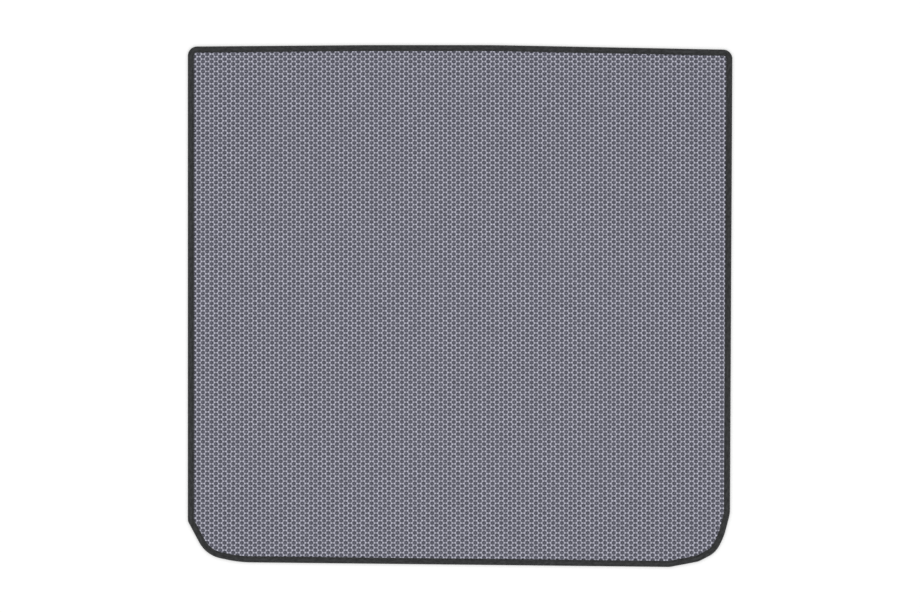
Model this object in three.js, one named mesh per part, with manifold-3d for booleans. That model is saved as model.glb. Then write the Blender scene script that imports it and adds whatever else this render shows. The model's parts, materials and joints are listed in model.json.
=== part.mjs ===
import * as THREE from "three";
import { mergeGeometries, mergeVertices } from "three/addons/utils/BufferGeometryUtils.js";
import Module from "manifold-3d";

// A car boot liner: a sheet of springy foam with a honeycomb of open cells moulded into its top, cut to the
// shape of the boot floor, with a woven tape folded over its edge and sewn through on one seam all round.
// It lies flat with +X across the car, +Y towards the rear seats and +Z up, and its origin is on the floor
// under its middle. Sizes are in millimetres.

// Outline of the bound edge, seen from above
const linerWidth = 1104;
const linerLength = 1058;

// Edge against the rear seats: a flat crest that falls away a little to a small round corner on each side
const crestLeftX = -186;
const crestRightX = 70;
const crestRound = 4000;
const seatLeftFall = 3;
const seatRightFall = 9.5;
const seatCornerRound = 19;

// Tailgate corners: where the straight runs of the edge would meet. in is measured from the liner's side,
// up from its tailgate edge, and the tape turns there on the radius round.
const tailgateLeft = [
  { in: 0, up: 93, round: 16 },
  { in: 37, up: 24, round: 64 },
  { in: 104, up: 9.5, round: 250 },
];
const tailgateRight = [
  { in: 127.5, up: 0, round: 32 },
  { in: 69, up: 11, round: 28 },
  { in: 34.5, up: 29, round: 50 },
  { in: 17.5, up: 60, round: 150 },
  { in: 5, up: 108.5, round: 60 },
];

// Foam sheet and its honeycomb
const sheetThickness = 10;
const cellPitch = 10; // between the middles of two neighbours
const cellWall = 2; // between two cells, at their mouths
const cellDepth = 6.5;
const cellFloor = 5.5; // across the flats of the floor, which is narrower than the mouth
const cellsMerged = 7; // real cells side by side that one modelled cell stands for

// Folded tape
const tapeThickness = 0.8;
const tapeLeg = 12.5; // from the outermost edge to the tape's free edge, on top and underneath
const tapeRise = 0.4; // of the tape's crown above the foam
const foldReach = 4; // of the rounded fold, in from the outermost edge
const cellsUnderTape = 0.7;

// Seam and its furrow
const seamInset = 9.4;
const furrowWidth = 3;
const furrowDepth = 0.9;
const threadWidth = 0.8;
const threadHeight = 0.5;

const seatClearance = 0.3; // between two pieces that touch

// Fineness of the round stretches
const turnPerStep = THREE.MathUtils.degToRad(15);
const foldSteps = 7;
const threadSides = 6;

const colours = { foam: "#7b7b87", tape: "#393a3b", thread: "#333436" };

const edgeHeight = sheetThickness + tapeRise;
const fieldInset = tapeLeg - cellsUnderTape;

const wasm = await Module();
wasm.setup();

/** The corners of the outline, anticlockwise from the seat edge's right end. */
function outlineCorners() {
  const side = linerWidth / 2;
  const end = linerLength / 2;
  const corner = (x, y, round) => ({ at: new THREE.Vector2(x, y), round });
  return [
    corner(side, end - seatRightFall, seatCornerRound),
    corner(crestRightX, end, crestRound),
    corner(crestLeftX, end, crestRound),
    corner(-side, end - seatLeftFall, seatCornerRound),
    ...tailgateLeft.map((c) => corner(c.in - side, c.up - end, c.round)),
    ...tailgateRight.map((c) => corner(side - c.in, c.up - end, c.round)),
  ];
}

/** Points along the edge, each with the direction that faces out of the liner there. */
function edgeStations() {
  const corners = outlineCorners();
  const stations = [];
  corners.forEach(({ at, round }, k) => {
    const arriving = at.clone().sub(corners.at(k - 1).at).normalize();
    const leaving = corners[(k + 1) % corners.length].at.clone().sub(at).normalize();
    const from = Math.atan2(-arriving.x, arriving.y);
    const turn = Math.atan2(arriving.cross(leaving), arriving.dot(leaving));
    const inward = new THREE.Vector2(-arriving.y - leaving.y, arriving.x + leaving.x);
    const centre = at.clone().addScaledVector(inward, round / (1 + arriving.dot(leaving)));
    const steps = Math.max(1, Math.ceil(Math.abs(turn) / turnPerStep));
    for (let i = 0; i <= steps; i++) {
      const angle = from + (turn * i) / steps;
      const out = new THREE.Vector2(Math.cos(angle), Math.sin(angle));
      stations.push({ edge: centre.clone().addScaledVector(out, round), out });
    }
  });
  const middle = new THREE.Box2().setFromPoints(stations.map((s) => s.edge)).getCenter(new THREE.Vector2());
  stations.forEach((s) => s.edge.sub(middle));
  return stations;
}

const stations = edgeStations();

/** A point of a section: its inset from the outermost edge and its height above the floor. */
const section = (inset, height) => new THREE.Vector2(inset, height);

/** The tape's outer face from one free edge to the other, over the top, round the fold and underneath. */
function tapeFace() {
  const furrowFloor = threadWidth + 2 * seatClearance;
  const upperLeg = [
    section(tapeLeg, sheetThickness),
    section(seamInset + furrowWidth / 2, edgeHeight),
    section(seamInset + furrowFloor / 2, edgeHeight - furrowDepth),
    section(seamInset - furrowFloor / 2, edgeHeight - furrowDepth),
    section(seamInset - furrowWidth / 2, edgeHeight),
  ];
  const fold = new THREE.EllipseCurve(
    foldReach, edgeHeight / 2, foldReach, edgeHeight / 2, Math.PI / 2, (3 * Math.PI) / 2,
  );
  const lowerLeg = upperLeg.map((p) => section(p.x, edgeHeight - p.y)).reverse();
  return [...upperLeg, ...fold.getPoints(foldSteps), ...lowerLeg];
}

/** A face moved into the liner by a distance, each corner along the middle of its two sides. */
function insideOf(face, distance) {
  return face.map((point, i) => {
    const before = point.clone().sub(face[Math.max(i, 1) - 1]);
    const after = face[Math.min(i, face.length - 2) + 1].clone().sub(point);
    const first = before.lengthSq() ? before.normalize() : after.clone().normalize();
    const second = after.lengthSq() ? after.normalize() : first;
    const inward = section(-first.y - second.y, first.x + second.x);
    return point.clone().addScaledVector(inward, distance / (1 + first.dot(second)));
  });
}

/** Corner positions and triangles of a section carried round the edge. */
function carriedRound(profile, closed) {
  const positions = stations.flatMap(({ edge, out }) =>
    profile.flatMap((p) => [edge.x - p.x * out.x, edge.y - p.x * out.y, p.y]),
  );
  const faces = [];
  const around = profile.length;
  for (let i = 0; i < stations.length; i++) {
    const here = i * around;
    const next = ((i + 1) % stations.length) * around;
    for (let j = 0; j < (closed ? around : around - 1); j++) {
      const k = (j + 1) % around;
      faces.push(here + j, here + k, next + k, here + j, next + k, next + j);
    }
  }
  return { positions, faces };
}

function geometryOf({ positions, faces }) {
  const geometry = new THREE.BufferGeometry();
  geometry.setAttribute("position", new THREE.Float32BufferAttribute(positions, 3));
  return geometry.setIndex(faces);
}

/** A closed three.js geometry as a solid that can be cut. */
function solidOf(geometry) {
  const bare = geometry.clone().deleteAttribute("normal").deleteAttribute("uv");
  const merged = mergeVertices(bare, 1e-4);
  return new wasm.Manifold(
    new wasm.Mesh({
      numProp: 3,
      vertProperties: merged.getAttribute("position").array,
      triVerts: new Uint32Array(merged.index.array),
    }),
  );
}

function geometryOfSolid(solid) {
  const { vertProperties, triVerts } = solid.getMesh();
  return geometryOf({ positions: Array.from(vertProperties), faces: Array.from(triVerts) });
}

/** The foam before its cells: full thickness inside the tape, and a squeezed rim that the tape folds over. */
function plainSheet() {
  const shoulder = tapeLeg + seatClearance;
  const rim = insideOf(tapeFace(), tapeThickness + seatClearance).slice(1, -1);
  const rimTop = sheetThickness - tapeThickness - seatClearance;
  const profile = [
    section(shoulder, sheetThickness),
    section(shoulder, rimTop),
    ...rim,
    section(shoulder, edgeHeight - rimTop),
    section(shoulder, 0),
  ];
  const { positions, faces } = carriedRound(profile, false);
  const ring = stations.map(({ edge, out }) => edge.clone().addScaledVector(out, -shoulder));
  const last = profile.length - 1;
  for (const [a, b, c] of THREE.ShapeUtils.triangulateShape(ring, [])) {
    faces.push(a * profile.length, b * profile.length, c * profile.length);
    faces.push(c * profile.length + last, b * profile.length + last, a * profile.length + last);
  }
  return geometryOf({ positions, faces });
}

/** How far a point lies outside the field of cells; less than nothing inside it. */
const outsideField = (x, y) =>
  Math.max(...stations.map(({ edge, out }) => (x - edge.x) * out.x + (y - edge.y) * out.y)) + fieldInset;

/** Hexagonal plugs, narrower at the foot, that leave the honeycomb when they are cut out of the sheet. */
function cellPlugs() {
  const pitch = cellPitch * cellsMerged;
  const mouth = (cellPitch - cellWall) * cellsMerged;
  const floor = cellFloor * cellsMerged;
  const columnStep = pitch * Math.cos(Math.PI / 6);
  const narrowest = (cellWall * cellsMerged) / 2;
  const cornerRadius = (flats) => flats / Math.sqrt(3);
  const plug = new THREE.CylinderGeometry(
    cornerRadius(mouth), cornerRadius(floor), cellDepth, 6, 1, false, Math.PI / 2,
  );
  plug.rotateX(Math.PI / 2);
  plug.translate(0, 0, sheetThickness - cellDepth / 2);
  const columns = Math.ceil(linerWidth / 2 / columnStep);
  const rows = Math.ceil(linerLength / 2 / pitch);
  const plugs = [];
  for (let column = -columns; column <= columns; column++) {
    const stagger = column % 2 ? pitch / 2 : 0;
    for (let row = -rows; row <= rows; row++) {
      const x = column * columnStep;
      const y = row * pitch + stagger;
      if (outsideField(x, y) < mouth / 2 - narrowest) plugs.push(plug.clone().translate(x, y, 0));
    }
  }
  return mergeGeometries(plugs);
}

/** A block over the whole field of cells, up to where they end under the tape. */
function fieldBlock() {
  const shape = new THREE.Shape(stations.map(({ edge, out }) => edge.clone().addScaledVector(out, -fieldInset)));
  return new THREE.ExtrudeGeometry(shape, { depth: 2 * sheetThickness, bevelEnabled: false });
}

function cellSheet() {
  const cells = solidOf(cellPlugs()).intersect(solidOf(fieldBlock()));
  return geometryOfSolid(solidOf(plainSheet()).subtract(cells));
}

function edgeBinding() {
  const face = tapeFace();
  return geometryOf(carriedRound([...face, ...insideOf(face, tapeThickness).reverse()], true));
}

/** A thread that lies in the furrow; height is that of its middle. */
function seamThread(height) {
  const round = new THREE.EllipseCurve(seamInset, height, threadWidth / 2, threadHeight / 2);
  return geometryOf(carriedRound(round.getPoints(threadSides).slice(1), true));
}

function piece(name, geometry, color, roughness) {
  const material = new THREE.MeshStandardMaterial({ color, roughness, metalness: 0, flatShading: true });
  const mesh = new THREE.Mesh(geometry, material);
  mesh.name = name;
  return mesh;
}

const threadMiddle = furrowDepth - seatClearance - threadHeight / 2;

const bootLiner = new THREE.Group();
bootLiner.add(
  piece("cell_sheet", cellSheet(), colours.foam, 0.85),
  piece("edge_binding", edgeBinding(), colours.tape, 0.95),
  piece("needle_thread", seamThread(edgeHeight - threadMiddle), colours.thread, 0.7),
  piece("bobbin_thread", seamThread(threadMiddle), colours.thread, 0.7),
);

export default bootLiner;
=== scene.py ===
"""A car boot liner, dressed round its packed solids: foam with a honeycomb of open cells, a woven tape
folded over its edge, and the two threads of the seam that holds the tape. Lengths are in metres."""

import json
import math
from typing import NamedTuple

import bmesh
import bpy
import numpy as np
from bpy.props import FloatProperty, FloatVectorProperty, IntProperty, PointerProperty
from bpy.types import Operator, Panel, PropertyGroup
from mathutils import Matrix, Vector

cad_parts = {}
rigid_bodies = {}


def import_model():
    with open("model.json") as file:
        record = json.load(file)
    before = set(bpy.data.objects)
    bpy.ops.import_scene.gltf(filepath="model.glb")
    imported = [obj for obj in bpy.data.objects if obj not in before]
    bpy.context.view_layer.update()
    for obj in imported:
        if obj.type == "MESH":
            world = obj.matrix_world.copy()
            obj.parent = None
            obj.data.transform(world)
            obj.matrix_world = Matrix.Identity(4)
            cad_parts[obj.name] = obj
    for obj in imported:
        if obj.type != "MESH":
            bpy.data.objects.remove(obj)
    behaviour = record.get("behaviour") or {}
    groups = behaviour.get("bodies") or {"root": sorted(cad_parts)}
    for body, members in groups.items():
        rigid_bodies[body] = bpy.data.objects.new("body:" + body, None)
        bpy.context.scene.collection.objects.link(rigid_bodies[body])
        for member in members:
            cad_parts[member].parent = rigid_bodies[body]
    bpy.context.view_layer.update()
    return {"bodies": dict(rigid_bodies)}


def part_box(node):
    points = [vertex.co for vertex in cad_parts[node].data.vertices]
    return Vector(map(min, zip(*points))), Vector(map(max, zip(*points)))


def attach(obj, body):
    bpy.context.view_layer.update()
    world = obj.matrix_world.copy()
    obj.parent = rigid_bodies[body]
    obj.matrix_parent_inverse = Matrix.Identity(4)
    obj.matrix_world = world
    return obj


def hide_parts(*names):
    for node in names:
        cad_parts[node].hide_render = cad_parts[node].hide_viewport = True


bl_info = {
    "name": "Car Boot Liner",
    "version": (1, 0, 0),
    "blender": (4, 5, 0),
    "location": "3D View > Sidebar > Boot Liner",
    "description": "Models a honeycomb foam boot liner with a sewn tape round its edge",
    "category": "Object",
}

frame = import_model()

BODY = next(iter(frame["bodies"]))
MM = 0.001
WELD = 0.01 * MM
FOLD_STEPS = 7  # in the half turn of the fold
TIGHT_BEND = 15.0  # one over the radius in metres
MOST_CORNERS = 12  # of a face that is left as it is
STRAIGHT = 0.002  # sine of the largest turn that counts as straight
CELL_SHARP = math.radians(30)
WOVEN_SHARP = math.radians(50)

# The foam under the tape: the air above it, and how far inside the tape's free edge its step has its foot
# and its shoulder.
PRESSED_AIR = 0.3 * MM
STEP_FOOT = 0.05 * MM
STEP_SHOULDER = 0.2 * MM

# A stitch: share of its length from the middle, height over the tape in depths of the furrow, and share of
# the thread's thickness.
STITCH_RINGS = (
    (-0.5, -1.6, 0.55),
    (-0.3, -0.62, 0.9),
    (0.0, -0.5, 1.0),
    (0.3, -0.62, 0.9),
    (0.5, -1.6, 0.55),
)
STITCH_SIDES = 5

# How large the spots are in the foam and the tape, and how far apart the turns of the thread.
GRAIN = 0.35 * MM
SCUFF = 7 * MM
FUZZ = 0.25 * MM
STREAK = 9 * MM
TWIST = 0.9 * MM

FLOOR_GAP = 0.2 * MM
FLOOR_TONE = 0.6
FLOOR_GLOW = 0.46  # what the floor shows the camera beyond the light that falls on it
LAMP_SIDE = 3.0
LAMP_HEIGHT = 2.6
CAMERA_HEIGHT = 2.0

# The bound edge from above. A corner is where two straight runs would meet, and its last number is the
# radius on which the tape turns there. The seat edge falls away from its crest to each side, and tailgate
# corners are measured in from the side and up from the tailgate edge.
LINER_WIDTH = 1.104
LINER_LENGTH = 1.058
SEAT_RIGHT = (0.0095, 0.019)
SEAT_LEFT = (0.003, 0.019)
CREST = ((0.070, 4.0), (-0.186, 4.0))
TAILGATE_LEFT = ((0.0, 0.093, 0.016), (0.037, 0.024, 0.064), (0.104, 0.0095, 0.250))
TAILGATE_RIGHT = (
    (0.1275, 0.0, 0.032),
    (0.069, 0.011, 0.028),
    (0.0345, 0.029, 0.050),
    (0.0175, 0.060, 0.150),
    (0.005, 0.1085, 0.060),
)

foam_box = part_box("cell_sheet")
tape_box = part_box("edge_binding")
FOAM_TOP = foam_box[1][2]
TAPE_TOP = tape_box[1][2]


def length(name, default, text, lowest=0.0):
    """A size in metres that a user may change."""
    return FloatProperty(
        name=name, description=text, default=default, unit="LENGTH", min=lowest, precision=5
    )


def colour(name, default, text):
    """A colour, written as it looks on a screen from 0 to 255 and kept in scene-linear values."""
    linear = [screen_to_linear(channel / 255) for channel in default]
    return FloatVectorProperty(
        name=name, description=text, default=linear, subtype="COLOR", size=3, min=0.0, max=1.0
    )


def screen_to_linear(value):
    return value / 12.92 if value <= 0.04045 else ((value + 0.055) / 1.055) ** 2.4


class FoamSettings(PropertyGroup):
    """The foam sheet and its cells."""

    row_step: length("Row step", 0.010005, "Between the middles of two cells of one column")
    column_step: length("Column step", 0.008764, "Between two columns, which are staggered by half a row")
    first_x: length("First cell X", -0.0041, "How far right of the middle one cell has its own middle", -1.0)
    first_y: length("First cell Y", 0.0003, "How far towards the seats the same cell has its middle", -1.0)
    wall: length("Wall", 0.0022, "Crowned top of the wall between two cells")
    crown: length("Crown", 0.0002, "How much higher the middle of a wall is than the rims of its cells")
    lip: length("Lip", 0.00068, "Rounding below a cell's rim")
    depth: length("Depth", 0.0065, "From the top of the walls to the floor of a cell")
    floor: length("Floor", 0.0042, "Across the flats of a cell's floor")
    corner: length("Corner", 0.00155, "How much of each corner of a cell's mouth is rounded off")
    strips: IntProperty(name="Strips", description="Pieces that the sheet is made in", default=5, min=1)
    # Painted light on the wall tops: the pads where three walls meet are paler as painted highlight, and the
    # narrow wall tops between them are darker as painted shade.
    pad_highlight_colour: colour("Pad colour", (192, 192, 205), "Highlighted pads where three walls meet")
    wall_colour: colour("Wall colour", (128, 128, 141), "Tops of the walls between the pads")
    # Painted shade in the cells: the side colour is darker than the floor colour, and both are darker than
    # the pads.
    side_colour: colour("Side colour", (122, 122, 135), "Sides of the cells")
    floor_colour: colour("Floor colour", (133, 134, 147), "Floors of the cells")
    under_colour: colour("Underside colour", (118, 118, 130), "Plain underside of the sheet")


class TapeSettings(PropertyGroup):
    """The folded tape."""

    leg: length("Leg", 0.0125, "From the outermost edge to the tape's free edge")
    thickness: length("Thickness", 0.0008, "Of the woven tape")
    fold: length("Fold", 0.004, "How far the rounded fold reaches in from the outermost edge")
    overlap: length("Overlap", 0.0015, "How far the field of cells runs on under the tape")
    furrow: length("Furrow", 0.0009, "How deep the seam draws the tape down")
    furrow_half: length("Furrow half width", 0.0017, "From the seam to where the tape is level again")
    pucker: length("Pucker", 0.00025, "Height of the gathers in the tape on a tight corner")
    yarn: length("Yarn", 0.0007, "Between two yarns of the weave")
    colour: colour("Tape colour", (50, 51, 52), "The woven tape")


class SeamSettings(PropertyGroup):
    """The lock-stitched seam."""

    inset: length("Inset", 0.0094, "From the outermost edge to the seam")
    stitch: length("Stitch", 0.005, "From one needle hole to the next")
    thread: length("Thread", 0.0007, "Thickness of the thread")
    colour: colour("Thread colour", (52, 53, 55), "The sewing thread")


class StageSettings(PropertyGroup):
    """The floor, the light and the camera."""

    floor_side: length("Floor side", 16.0, "Side of the pale floor")
    view_width: length("View width", 1.8645, "What the picture shows from left to right")
    aim_x: length("Aim X", -0.0002, "How far right of the liner's middle the camera points", -1.0)
    aim_y: length("Aim Y", -0.001, "How far towards the seats of the liner's middle the camera points", -1.0)
    sky: FloatProperty(name="Sky", description="Even light from all round", default=0.55, min=0.0)
    lamp: FloatProperty(
        name="Lamp", description="Power of the lamp overhead", default=45.0, subtype="POWER", min=0.0
    )


class LinerSettings(PropertyGroup):
    """All that a user can change."""

    foam: PointerProperty(type=FoamSettings)
    tape: PointerProperty(type=TapeSettings)
    seam: PointerProperty(type=SeamSettings)
    stage: PointerProperty(type=StageSettings)


class Stop(NamedTuple):
    """A place on the outermost edge, the way out of the liner there, and how tightly the edge turns."""

    at: Vector
    out: Vector
    bend: float

    def inward(self, inset):
        return self.at - self.out * inset


class Straight(NamedTuple):
    """A straight run of the edge."""

    start: Vector
    end: Vector
    angle: float = 0.0

    def length(self, inset):
        return (self.end - self.start).length

    def stop(self, share):
        way = (self.end - self.start).normalized()
        return Stop(self.start.lerp(self.end, share), Vector((way.y, -way.x)), 0.0)


class Turn(NamedTuple):
    """A round corner of the edge."""

    centre: Vector
    radius: float
    first: float
    angle: float

    def length(self, inset):
        return (self.radius - inset) * self.angle

    def stop(self, share):
        angle = self.first + self.angle * share
        out = Vector((math.cos(angle), math.sin(angle)))
        return Stop(self.centre + out * self.radius, out, 1 / self.radius)


class BoundEdge:
    """The outermost edge of the liner, walked anticlockwise from the seat edge's right corner."""

    TANGENT_ANGLE = math.radians(20)

    def __init__(self):
        turns = self.turns()
        self.runs = []
        for turn, following in zip(turns, turns[1:] + turns[:1]):
            self.runs += [turn, Straight(turn.stop(1).at, following.stop(0).at)]
        self.tangents = list(self.touching())

    @staticmethod
    def corners():
        """Where the straight runs would meet, with the radius of each turn."""
        side, end = LINER_WIDTH / 2, LINER_LENGTH / 2
        seat = [(side, end - SEAT_RIGHT[0], SEAT_RIGHT[1])]
        seat += [(x, end, radius) for x, radius in CREST]
        seat += [(-side, end - SEAT_LEFT[0], SEAT_LEFT[1])]
        left = [(inward - side, up - end, radius) for inward, up, radius in TAILGATE_LEFT]
        right = [(side - inward, up - end, radius) for inward, up, radius in TAILGATE_RIGHT]
        return [(Vector((x, y)), radius) for x, y, radius in seat + left + right]

    def turns(self):
        """The round corners, with the middle of the liner at the origin."""
        corners = self.corners()
        made = []
        for k, (at, radius) in enumerate(corners):
            arriving = (at - corners[k - 1][0]).normalized()
            leaving = (corners[(k + 1) % len(corners)][0] - at).normalized()
            inward = Vector((-arriving.y - leaving.y, arriving.x + leaving.x))
            centre = at + inward * radius / (1 + arriving.dot(leaving))
            angle = math.atan2(arriving.cross(leaving), arriving.dot(leaving))
            made.append(Turn(centre, radius, math.atan2(-arriving.x, arriving.y), angle))
        on_edge = np.array([turn.stop(quarter / 4).at for turn in made for quarter in range(5)])
        middle = Vector((on_edge.min(0) + on_edge.max(0)) / 2)
        return [turn._replace(centre=turn.centre - middle) for turn in made]

    def length(self, inset):
        return sum(run.length(inset) for run in self.runs)

    def stop(self, share, inset):
        """The stop at this share of the way along the line that lies this far in from the edge."""
        along = share % 1 * self.length(inset)
        for run in self.runs:
            if along <= run.length(inset):
                return run.stop(along / run.length(inset))
            along -= run.length(inset)
        return self.runs[0].stop(0)

    def touching(self):
        """Stops whose tangents together bound the liner."""
        for run in self.runs:
            count = max(1, math.ceil(run.angle / self.TANGENT_ANGLE))
            for k in range(count):
                yield run.stop((k + 0.5) / count)

    def insets(self, verts):
        """How far in from the edge each vertex lies, and the way out there."""
        at = np.array([stop.at for stop in self.tangents])
        out = np.array([stop.out for stop in self.tangents])
        room = (at * out).sum(1) - np.array([vert.co.xy for vert in verts]) @ out.T
        nearest = room.argmin(1)
        return [(room[k, tangent], Vector(out[tangent])) for k, tangent in enumerate(nearest)]


edge = BoundEdge()


class Value:
    """A shader socket that can be reckoned with: each operator adds its Math node."""

    def __init__(self, finish, socket):
        self.finish = finish
        self.socket = socket

    def math(self, operation, *values):
        return self.finish.node("ShaderNodeMath", {"operation": operation}, values)

    def __add__(self, other):
        return self.math("ADD", self, other)

    def __sub__(self, other):
        return self.math("SUBTRACT", self, other)

    def __rsub__(self, other):
        return self.math("SUBTRACT", other, self)

    def __mul__(self, other):
        return self.math("MULTIPLY", self, other)

    def __truediv__(self, other):
        return self.math("DIVIDE", self, other)

    __radd__ = __add__
    __rmul__ = __mul__

    def floor(self):
        return self.math("FLOOR", self)

    def sine(self):
        return self.math("SINE", self)

    def cosine(self):
        return self.math("COSINE", self)

    def between(self, start, end):
        """0 on the near side of start, 1 beyond end, and a smooth rise from one to the other."""
        return self.finish.node(
            "ShaderNodeMapRange",
            {"interpolation_type": "SMOOTHSTEP"},
            {0: self, 1: start, 2: end, 3: 0.0, 4: 1.0},
        )

    def scaled(self, factor):
        """This colour, lighter or darker by a factor."""
        return self.finish.node(
            "ShaderNodeVectorMath", {"operation": "SCALE"}, {"Vector": self, "Scale": factor}
        )


class Finish:
    """A material, built up node by node."""

    def __init__(self, name):
        self.material = bpy.data.materials.new(name)
        self.material.use_nodes = True
        self.nodes = self.material.node_tree.nodes
        self.links = self.material.node_tree.links
        self.shader = self.nodes["Principled BSDF"]

    def node(self, kind, settings=None, values=(), out=0):
        """A node of this kind with its settings made first, then the values or links of its sockets."""
        made = self.nodes.new(kind)
        for name, setting in (settings or {}).items():
            setattr(made, name, setting)
        pairs = values.items() if isinstance(values, dict) else enumerate(values)
        for socket, value in pairs:
            if isinstance(value, Value):
                self.links.new(value.socket, made.inputs[socket])
            else:
                made.inputs[socket].default_value = value
        return Value(self, made.outputs[out])

    def object_point(self):
        return self.node("ShaderNodeTexCoord", out="Object")

    def parts(self, vector):
        """The three numbers of a vector."""
        split = self.nodes.new("ShaderNodeSeparateXYZ")
        self.links.new(vector.socket, split.inputs[0])
        return [Value(self, socket) for socket in split.outputs]

    def noise(self, vector, size, detail=2.0):
        """Grain whose spots are about this size in metres."""
        return self.node("ShaderNodeTexNoise", {}, {"Vector": vector, "Scale": 1 / size, "Detail": detail})

    def mix(self, share, first, second):
        """A colour between two, each a Value or three numbers."""
        full = [value if isinstance(value, Value) else (*value, 1.0) for value in (first, second)]
        return self.node(
            "ShaderNodeMix", {"data_type": "RGBA"}, {0: share, 6: full[0], 7: full[1]}, out=2
        )

    def bump(self, height, distance):
        return self.node("ShaderNodeBump", {}, {"Height": height, "Distance": distance, "Strength": 1.0})

    def set(self, **values):
        """Values or links of the shader's own sockets; an underscore stands for a space."""
        for name, value in values.items():
            socket = self.shader.inputs[name.replace("_", " ")]
            if isinstance(value, Value):
                self.links.new(value.socket, socket)
            else:
                socket.default_value = value
        return self.material


def shaded(tone, factor):
    """A colour setting, darker or lighter by a factor."""
    return tuple(factor * channel for channel in tone)


def foam_finish(foam):
    """Matte foam with a fine grain and painted light: paler on the tops of its walls and palest on the pads
    where three of them meet, as painted highlight, and darker down in its cells, as painted shade."""
    finish = Finish("cell_foam")
    point = finish.object_point()
    x, y, z = finish.parts(point)
    grain = finish.noise(point, GRAIN, 3.0)
    scuffs = finish.noise(point, SCUFF)
    across = ((x - foam.first_x) * (math.pi / foam.column_step)).cosine()
    along = ((y - foam.first_y) * (2 * math.pi / foam.row_step)).cosine()
    # Painted highlight on the pads where three walls meet. The narrow wall tops between them keep the darker
    # wall colour as painted shade.
    # The product is above zero in a cell, zero halfway along a wall, and -0.25 where three walls meet.
    pad_highlight = (across * (across + along)).between(0.0, -0.15)
    # Painted light by height: the tops of the walls take the paler colours as painted highlight, and the
    # cells below the lip take the darker ones as painted shade. The same mask makes the tops a little
    # smoother.
    top = z.between(FOAM_TOP - foam.crown - foam.lip - 0.25 * MM, FOAM_TOP - 0.02 * MM)
    # Painted shade on the sides of the cells, which are darker than the floors.
    floor = z.between(FOAM_TOP - foam.depth + 1.2 * MM, FOAM_TOP - foam.depth + 0.2 * MM)
    under = z.between(2.5 * MM, 1.5 * MM)
    inside = finish.mix(floor, foam.side_colour, foam.floor_colour)
    below = finish.mix(under, inside, foam.under_colour)
    outside = finish.mix(pad_highlight, foam.wall_colour, foam.pad_highlight_colour)
    shade = finish.mix(top, below, outside).scaled(0.54 + 0.16 * grain + 0.76 * scuffs)
    return finish.set(
        Base_Color=shade,
        Roughness=0.86 - 0.12 * top + 0.08 * grain,
        Specular_IOR_Level=0.35,
        Normal=finish.bump(grain, 0.05 * MM),
    )


def tape_finish(tape):
    """Charcoal woven tape. Its UV map is in metres: along the tape, and across it."""
    finish = Finish("binding_tape")
    uv = finish.node("ShaderNodeTexCoord", out="UV")
    along, across, _ = finish.parts(uv)
    yarn = across / tape.yarn
    row = yarn.floor()
    rib = ((yarn - row) * math.pi).sine()
    float_over = (along * (math.pi / tape.yarn) + row * math.pi).sine()
    weave = rib * float_over
    fuzz = finish.noise(finish.object_point(), FUZZ, 4.0)
    drawn_out = finish.node("ShaderNodeVectorMath", {"operation": "MULTIPLY"}, (uv, (1.0, 2.0, 1.0)))
    streak = finish.noise(drawn_out, STREAK, 3.0)
    share = 0.42 + 0.15 * weave + 0.2 * (fuzz - 0.5) + 2.3 * (streak - 0.5)
    return finish.set(
        Base_Color=finish.mix(share, shaded(tape.colour, 0.5), shaded(tape.colour, 1.6)),
        Roughness=0.82 + 0.1 * fuzz,
        Specular_IOR_Level=0.3,
        Sheen_Weight=0.15,
        Sheen_Roughness=0.5,
        Normal=finish.bump(weave + 0.6 * fuzz, 0.12 * MM),
    )


def thread_finish(seam):
    """Charcoal sewing thread with its twist."""
    finish = Finish("seam_thread")
    along, around, _ = finish.parts(finish.node("ShaderNodeTexCoord", out="UV"))
    twist = ((along / TWIST + around) * (2 * math.pi)).sine()
    share = 0.5 + 0.4 * twist
    return finish.set(
        Base_Color=finish.mix(share, shaded(seam.colour, 0.7), shaded(seam.colour, 1.3)),
        Roughness=0.6 - 0.08 * twist,
        Normal=finish.bump(twist, 0.06 * MM),
    )


def piece_from(bm, name, material, node, sharp=WOVEN_SHARP):
    """A finished mesh as a piece that stands for a node of the frame, creased where it turns by more than
    the angle sharp."""
    mesh = bpy.data.meshes.new(name)
    bm.to_mesh(mesh)
    bm.free()
    mesh.shade_smooth()
    mesh.set_sharp_from_angle(angle=sharp)
    mesh.materials.append(material)
    piece = bpy.data.objects.new(name, mesh)
    bpy.context.scene.collection.objects.link(piece)
    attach(piece, BODY)
    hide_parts(node)
    return piece


def everything(bm):
    return bm.verts[:] + bm.edges[:] + bm.faces[:]


def moved_verts(made):
    """The vertices among what a bmesh operator has made."""
    return [element for element in made["geom"] if isinstance(element, bmesh.types.BMVert)]


def hexagon(bm, flats, height, cap=False):
    """A hexagon with a corner on each side of the Y axis, given across its flats."""
    turned = Matrix.Translation((0, 0, height)) @ Matrix.Rotation(math.pi / 2, 4, "Z")
    made = bmesh.ops.create_circle(bm, cap_ends=cap, radius=flats / math.sqrt(3), segments=6, matrix=turned)
    return made["verts"]


def loop_of(verts):
    """The edges that join these vertices."""
    chosen = set(verts)
    return list({e for v in verts for e in v.link_edges if e.other_vert(v) in chosen})


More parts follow.
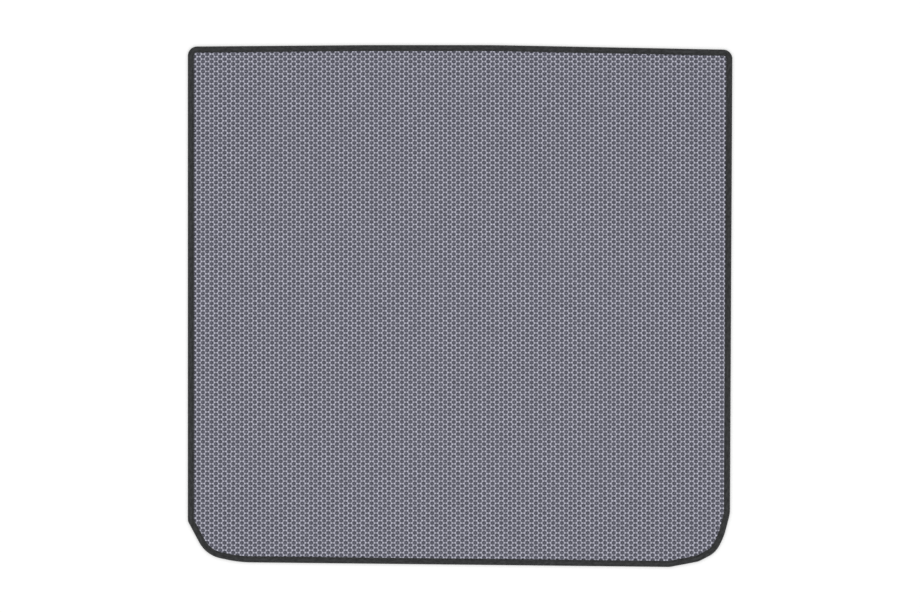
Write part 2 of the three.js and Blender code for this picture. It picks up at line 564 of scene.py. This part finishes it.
def cell_unit(foam):
    """Two neighbouring cells of the sheet's top, open below: wall tops, lips, sloping sides and floors."""
    bm = bmesh.new()
    mouth_flats, rim = foam.row_step - foam.wall, FOAM_TOP - foam.crown
    outer = hexagon(bm, foam.row_step, FOAM_TOP)
    corners = hexagon(bm, mouth_flats, rim, cap=True)
    bmesh.ops.bevel(
        bm, geom=corners, offset=foam.corner, segments=1, profile=0.5, affect="VERTICES", material=-1
    )
    opening = bm.faces[:][0]
    mouth = opening.verts[:]
    bmesh.ops.delete(bm, geom=[opening], context="FACES_ONLY")
    lip = hexagon(bm, mouth_flats - 2 * foam.lip, rim - foam.lip)
    floor = hexagon(bm, foam.floor, FOAM_TOP - foam.depth, cap=True)
    for upper, lower in ((outer, mouth), (mouth, lip), (lip, floor)):
        bmesh.ops.bridge_loops(bm, edges=loop_of(upper) + loop_of(lower))
    regular_column = foam.row_step * math.cos(math.pi / 6)
    bmesh.ops.scale(bm, vec=(foam.column_step / regular_column, 1, 1), verts=bm.verts)
    second = moved_verts(bmesh.ops.duplicate(bm, geom=everything(bm)))
    bmesh.ops.translate(bm, vec=(foam.column_step, foam.row_step / 2, 0), verts=second)
    bmesh.ops.remove_doubles(bm, verts=bm.verts, dist=WELD)
    bmesh.ops.recalc_face_normals(bm, faces=bm.faces)
    return bm


def arrayed(bm, counts, steps):
    """The mesh repeated in two directions, each copy welded to the last."""
    mesh = bpy.data.meshes.new("cells")
    bm.to_mesh(mesh)
    holder = bpy.data.objects.new("cells", mesh)
    bpy.context.scene.collection.objects.link(holder)
    for count, step in zip(counts, steps):
        array = holder.modifiers.new("Array", "ARRAY")
        array.count = count
        array.use_relative_offset = False
        array.use_constant_offset = True
        array.constant_offset_displace = step
        array.use_merge_vertices = True
        array.merge_threshold = WELD
    made = bmesh.new()
    made.from_object(holder, bpy.context.evaluated_depsgraph_get())
    bpy.data.objects.remove(holder)
    bpy.data.meshes.remove(mesh)
    return made


def cut_along_edge(bm, inset, clear=False):
    """Cuts the mesh along the liner's edge at this inset, and clears what lies outside if asked."""
    places = np.array([vert.co.xy for vert in bm.verts])
    low, high = places.min(0), places.max(0)
    for stop in edge.tangents:
        on = stop.inward(inset)
        furthest = Vector([high[k] if stop.out[k] > 0 else low[k] for k in (0, 1)])
        if (furthest - on).dot(stop.out) > 0:
            bmesh.ops.bisect_plane(
                bm, geom=everything(bm), plane_co=(*on, 0), plane_no=(*stop.out, 0), clear_outer=clear
            )


def foam_strip(foam, unit, first_pair, pairs, tape):
    """One strip of the sheet: its cells, cut off and pressed down under the tape, and closed below."""
    rows = math.ceil(LINER_LENGTH / foam.row_step / 2) * 2
    bm = arrayed(unit, (rows, pairs), ((0, foam.row_step, 0), (2 * foam.column_step, 0, 0)))
    start = (foam.first_x + 2 * foam.column_step * first_pair, foam.first_y - rows / 2 * foam.row_step, 0)
    bmesh.ops.translate(bm, vec=start, verts=bm.verts)

    pressed = FOAM_TOP - tape.thickness - PRESSED_AIR
    foot = tape.leg + STEP_FOOT
    shoulder = tape.leg + STEP_SHOULDER
    cut_along_edge(bm, tape.leg - tape.overlap, clear=True)
    cut_along_edge(bm, foot)
    cut_along_edge(bm, shoulder)
    verts = bm.verts[:]
    for vert, (inset, _) in zip(verts, edge.insets(verts)):
        if inset < foot + WELD:
            vert.co.z = min(vert.co.z, pressed)

    under = TAPE_TOP - pressed
    for reach, height in ((0.0, under), (foot, under), (shoulder, 0.0)):
        border = [e for e in bm.edges if e.is_boundary]
        low = moved_verts(bmesh.ops.extrude_edge_only(bm, edges=border))
        for vert, (inset, out) in zip(low, edge.insets(low)):
            vert.co.z = height if inset < shoulder - WELD else 0.0
            vert.co.xy -= out * max(0.0, min(reach, shoulder) - inset)
    bmesh.ops.remove_doubles(bm, verts=[v for v in bm.verts if v.co.z < under + WELD], dist=WELD / 10)
    bmesh.ops.dissolve_verts(bm, verts=[v for v in bm.verts if v.is_boundary and on_straight(v)])
    bmesh.ops.holes_fill(bm, edges=[e for e in bm.edges if e.is_boundary], sides=0)
    large = [f for f in bm.faces if len(f.verts) > MOST_CORNERS]
    bmesh.ops.triangulate(bm, faces=large, ngon_method="BEAUTY")
    bmesh.ops.recalc_face_normals(bm, faces=bm.faces)
    return bm


def on_straight(vert):
    """Whether an open border runs straight on through one of its vertices."""
    arriving, leaving = (e.other_vert(vert).co - vert.co for e in vert.link_edges if e.is_boundary)
    return arriving.cross(leaving).length < STRAIGHT * arriving.length * leaving.length


def rolled(columns, rows, place, unroll):
    """A grid rolled up. place gives the position of each of its vertices and unroll the UV in metres, from
    the vertex's column and row; vertices that come to the same place are welded."""
    bm = bmesh.new()
    uv = bm.loops.layers.uv.new("metres")
    bmesh.ops.create_grid(bm, x_segments=columns, y_segments=rows, size=0.5)
    spots = {v: (round((v.co.x + 0.5) * columns), round((v.co.y + 0.5) * rows)) for v in bm.verts}
    for face in bm.faces:
        for loop in face.loops:
            loop[uv].uv = unroll(*spots[loop.vert])
    for vert, spot in spots.items():
        vert.co = place(*spot)
    bmesh.ops.remove_doubles(bm, verts=bm.verts, dist=WELD / 100)
    return bm


def carried_round(stops, sections, alongs):
    """Closed sections of (inset, height), one for each stop, joined into a ring."""
    first = sections[0]
    gaps = [math.dist(point, first[k - 1]) for k, point in enumerate(first)]
    widths = [sum(gaps[1 : k + 1]) for k in range(len(first))] + [sum(gaps)]

    def place(i, j):
        stop, section = stops[i % len(stops)], sections[i % len(stops)]
        inset, height = section[j % len(section)]
        return (*stop.inward(inset), height)

    bm = rolled(len(stops), len(first), place, lambda i, j: (alongs[i], widths[j]))
    bmesh.ops.recalc_face_normals(bm, faces=bm.faces)
    return bm


def seam_stops(seam):
    """Stops along the seam, two to a stitch and four where it turns tightly, each with its number of
    stitches from the start. The first of a stitch is at its needle hole."""
    count = round(edge.length(seam.inset) / seam.stitch)
    quarters = [(k / 4, edge.stop(k / 4 / count, seam.inset)) for k in range(4 * count)]
    return [(number, stop) for number, stop in quarters if number % 0.5 == 0 or stop.bend > TIGHT_BEND]


def tape_section(tape, seam, drawn, gather):
    """The tape's section from its upper free edge out over the fold, underneath, and back inside. drawn is
    how firmly the thread pulls here, from 0 between two needle holes to 1 at one, and gather is how much
    of the height of a full gather the tape has here."""
    half = tape.furrow_half
    across = [tape.leg, tape.leg - 0.4 * MM]
    across += [seam.inset + half * share for share in (1, 0.6, 0.3, 0, -0.3, -0.6, -1)]
    across += [tape.fold + 1.6 * MM, tape.fold]
    upper = []
    for inset in across:
        near = max(0.0, 1 - abs(inset - seam.inset) / half)
        dip = tape.furrow * (0.8 + 0.35 * drawn) * (0.5 - 0.5 * math.cos(math.pi * near))
        tuck = (TAPE_TOP - FOAM_TOP) * max(0.0, 1 - (tape.leg - inset) / (1.2 * MM))
        ripple = tape.pucker * gather * drawn * min(1.0, (inset - tape.fold) / half)
        upper.append((inset, TAPE_TOP - max(dip, tuck) - ripple))
    middle = TAPE_TOP / 2
    angles = [math.pi * step / FOLD_STEPS for step in range(1, FOLD_STEPS)]
    fold = [(tape.fold * (1 - math.sin(a)), middle + middle * math.cos(a)) for a in angles]
    left_out = across[3:8:2]  # below, every other place in the furrow is enough
    lower = [(inset, TAPE_TOP - height) for inset, height in upper[::-1] if inset not in left_out]
    back = tape.thickness
    lining = [
        (tape.leg - 0.1 * MM, upper[0][1] - back),
        (seam.inset, TAPE_TOP - tape.furrow - 0.8 * back),
        (tape.fold, TAPE_TOP - back - 0.3 * MM),
    ]
    lining_below = [(inset, TAPE_TOP - height) for inset, height in lining]
    return upper + fold + lower + lining_below + [(back + 0.1 * MM, middle)] + lining[::-1]


def stitch_mesh(seam, tape, span):
    """One stitch along X: it rests in the furrow and dives into a needle hole at each end."""

    def place(i, j):
        share, height, plump = STITCH_RINGS[i]
        angle = 2 * math.pi * j / STITCH_SIDES
        radius = seam.thread / 2 * plump
        up = TAPE_TOP + height * tape.furrow + radius * math.sin(angle)
        return (share * span, radius * math.cos(angle), up)

    def unroll(i, j):
        return (STITCH_RINGS[i][0] * span, j / STITCH_SIDES)

    bm = rolled(len(STITCH_RINGS) - 1, STITCH_SIDES, place, unroll)
    bmesh.ops.holes_fill(bm, edges=[e for e in bm.edges if e.is_boundary], sides=0)
    bmesh.ops.recalc_face_normals(bm, faces=bm.faces)
    mesh = bpy.data.meshes.new("stitch")
    bm.to_mesh(mesh)
    bm.free()
    return mesh


class LINER_OT_foam(Operator):
    """Models the foam sheet with every one of its cells, in strips that lie side by side"""

    bl_idname = "liner.foam"
    bl_label = "Foam Sheet"

    def execute(self, context):
        liner = context.scene.boot_liner
        foam, tape = liner.foam, liner.tape
        material = foam_finish(foam)
        unit = cell_unit(foam)
        pair = 2 * foam.column_step
        half = math.ceil(LINER_WIDTH / 2 / pair) + 1
        bounds = [round(-half + 2 * half * k / foam.strips) for k in range(foam.strips + 1)]
        for k, (low, high) in enumerate(zip(bounds, bounds[1:])):
            strip = foam_strip(foam, unit, low, high - low, tape)
            name = f"foam_strip_{k + 1}"
            piece = piece_from(strip, name, material, "cell_sheet", sharp=CELL_SHARP)
        unit.free()
        return {"FINISHED"}


class LINER_OT_tape(Operator):
    """Models the folded tape, with the furrow of its seam and its gathers on tight corners"""

    bl_idname = "liner.tape"
    bl_label = "Edge Tape"

    def execute(self, context):
        liner = context.scene.boot_liner
        tape, seam = liner.tape, liner.seam
        numbers, stops = zip(*seam_stops(seam))
        sections = []
        for number, stop in zip(numbers, stops):
            drawn = 0.5 + 0.5 * math.cos(2 * math.pi * number)
            sections.append(tape_section(tape, seam, drawn, min(1.0, 0.2 + stop.bend / (2 * TIGHT_BEND))))
        count = math.ceil(numbers[-1] + 0.1)
        alongs = [number * seam.stitch for number in (*numbers, count)]
        bm = carried_round(stops, sections, alongs)
        piece_from(bm, "folded_tape", tape_finish(tape), "edge_binding")
        return {"FINISHED"}


class LINER_OT_rim(Operator):
    """Models the squeezed rim of the foam that fills the folded tape"""

    bl_idname = "liner.rim"
    bl_label = "Squeezed Rim"

    def execute(self, context):
        liner = context.scene.boot_liner
        tape, seam = liner.tape, liner.seam
        kept = [(number, stop) for number, stop in seam_stops(seam) if number % 4 == 0 or stop.bend > 0.1]
        numbers, stops = zip(*kept)
        end = tape.leg - tape.overlap - 0.02 * MM
        # The last number of each is the air between the rim and the tape.
        upper = [
            (end, FOAM_TOP - tape.thickness - 0.35 * MM),
            (seam.inset, TAPE_TOP - tape.furrow - tape.thickness - 0.1 * MM),
            (tape.fold, TAPE_TOP - tape.thickness - 0.5 * MM),
        ]
        lower = [(inset, TAPE_TOP - height) for inset, height in upper[::-1]]
        section = upper + [(tape.thickness + 0.4 * MM, TAPE_TOP / 2)] + lower
        alongs = [number * seam.stitch for number in (*numbers, numbers[-1] + 4)]
        bm = carried_round(stops, [section] * len(stops), alongs)
        piece = piece_from(bm, "squeezed_rim", foam_finish(liner.foam), "cell_sheet")
        return {"FINISHED"}


class LINER_OT_seam(Operator):
    """Models every stitch of the needle thread on top and of the bobbin thread underneath"""

    bl_idname = "liner.seam"
    bl_label = "Seam"

    def execute(self, context):
        liner = context.scene.boot_liner
        tape, seam = liner.tape, liner.seam
        material = thread_finish(seam)
        holes = [stop.inward(seam.inset) for number, stop in seam_stops(seam) if number % 1 == 0]
        span = edge.length(seam.inset) / len(holes)
        stitch = stitch_mesh(seam, tape, span)
        top = bmesh.new()
        for hole, following in zip(holes, holes[1:] + holes[:1]):
            top.from_mesh(stitch)
            top.verts.ensure_lookup_table()
            way = following - hole
            turned = Matrix.Rotation(math.atan2(way.y, way.x), 4, "Z")
            to_place = Matrix.Translation((*hole.lerp(following, 0.5), 0)) @ turned
            bmesh.ops.transform(top, matrix=to_place, verts=top.verts[-len(stitch.vertices) :])
        bpy.data.meshes.remove(stitch)
        below = top.copy()
        bmesh.ops.scale(below, vec=(1, 1, -1), verts=below.verts)
        bmesh.ops.translate(below, vec=(0, 0, TAPE_TOP), verts=below.verts)
        bmesh.ops.reverse_faces(below, faces=below.faces)
        piece_from(top, "needle_stitches", material, "needle_thread")
        piece_from(below, "bobbin_stitches", material, "bobbin_thread")
        return {"FINISHED"}


class LINER_OT_stage(Operator):
    """Lays the pale floor, hangs the light and sets the camera straight above the liner. The camera sees
    the sky in the tone of the far floor, so that a low view has no horizon"""

    bl_idname = "liner.stage"
    bl_label = "Stage"

    def execute(self, context):
        stage = context.scene.boot_liner.stage
        scene = context.scene
        bm = bmesh.new()
        bmesh.ops.create_grid(bm, x_segments=1, y_segments=1, size=stage.floor_side / 2)
        bmesh.ops.translate(bm, vec=(0, 0, -FLOOR_GAP), verts=bm.verts)
        mesh = bpy.data.meshes.new("studio_floor")
        bm.to_mesh(mesh)
        bm.free()
        mesh.materials.append(floor_finish())
        floor = bpy.data.objects.new("studio_floor", mesh)
        scene.collection.objects.link(floor)

        lamp = bpy.data.lights.new("softbox", "AREA")
        lamp.shape = "SQUARE"
        lamp.size = LAMP_SIDE
        lamp.energy = stage.lamp
        hung = bpy.data.objects.new("softbox", lamp)
        hung.location = (0, 0, LAMP_HEIGHT)
        scene.collection.objects.link(hung)

        world = bpy.data.worlds.new("studio")
        world.use_nodes = True
        nodes, links = world.node_tree.nodes, world.node_tree.links
        background = nodes["Background"]
        background.inputs["Color"].default_value = (1, 1, 1, 1)
        seen = nodes.new("ShaderNodeLightPath").outputs["Is Camera Ray"]
        strength = nodes.new("ShaderNodeMapRange")
        strength.inputs["To Min"].default_value = stage.sky
        strength.inputs["To Max"].default_value = FLOOR_GLOW + FLOOR_TONE * stage.sky
        links.new(seen, strength.inputs["Value"])
        links.new(strength.outputs["Result"], background.inputs["Strength"])
        scene.world = world

        lens = bpy.data.cameras.new("camera")
        lens.type = "ORTHO"
        lens.ortho_scale = stage.view_width
        camera = bpy.data.objects.new("camera", lens)
        camera.location = (stage.aim_x, stage.aim_y, CAMERA_HEIGHT)
        scene.collection.objects.link(camera)
        scene.camera = camera
        scene.view_settings.view_transform = "Standard"
        return {"FINISHED"}


def floor_finish():
    """Near-white floor that the camera sees as white where no shadow falls."""
    finish = Finish("studio_floor")
    seen = finish.node("ShaderNodeLightPath", out="Is Camera Ray")
    finish.shader.inputs["Emission Strength"].default_value = 1.0
    return finish.set(
        Base_Color=(FLOOR_TONE, FLOOR_TONE, FLOOR_TONE, 1.0),
        Roughness=1.0,
        Specular_IOR_Level=0.0,
        Emission_Color=finish.mix(seen, (0.0, 0.0, 0.0), (FLOOR_GLOW, FLOOR_GLOW, FLOOR_GLOW)),
    )


class LINER_PT_panel(Panel):
    """Sizes, colours and the buttons that build the liner"""

    bl_label = "Boot Liner"
    bl_idname = "LINER_PT_panel"
    bl_space_type = "VIEW_3D"
    bl_region_type = "UI"
    bl_category = "Boot Liner"

    def draw(self, context):
        liner = context.scene.boot_liner
        for group in (liner.foam, liner.tape, liner.seam, liner.stage):
            box = self.layout.box()
            box.label(text=group.__doc__)
            for name in group.__annotations__:
                box.prop(group, name)
        for step in STEPS:
            self.layout.operator(step.bl_idname)


STEPS = (LINER_OT_foam, LINER_OT_rim, LINER_OT_tape, LINER_OT_seam, LINER_OT_stage)
CLASSES = (FoamSettings, TapeSettings, SeamSettings, StageSettings, LinerSettings, *STEPS, LINER_PT_panel)


def register():
    for cls in CLASSES:
        bpy.utils.register_class(cls)
    bpy.types.Scene.boot_liner = PointerProperty(type=LinerSettings)


def unregister():
    del bpy.types.Scene.boot_liner
    for cls in reversed(CLASSES):
        bpy.utils.unregister_class(cls)


def main():
    register()
    for step in STEPS:
        group, name = step.bl_idname.split(".")
        getattr(getattr(bpy.ops, group), name)()


if __name__ == "__main__":
    main()
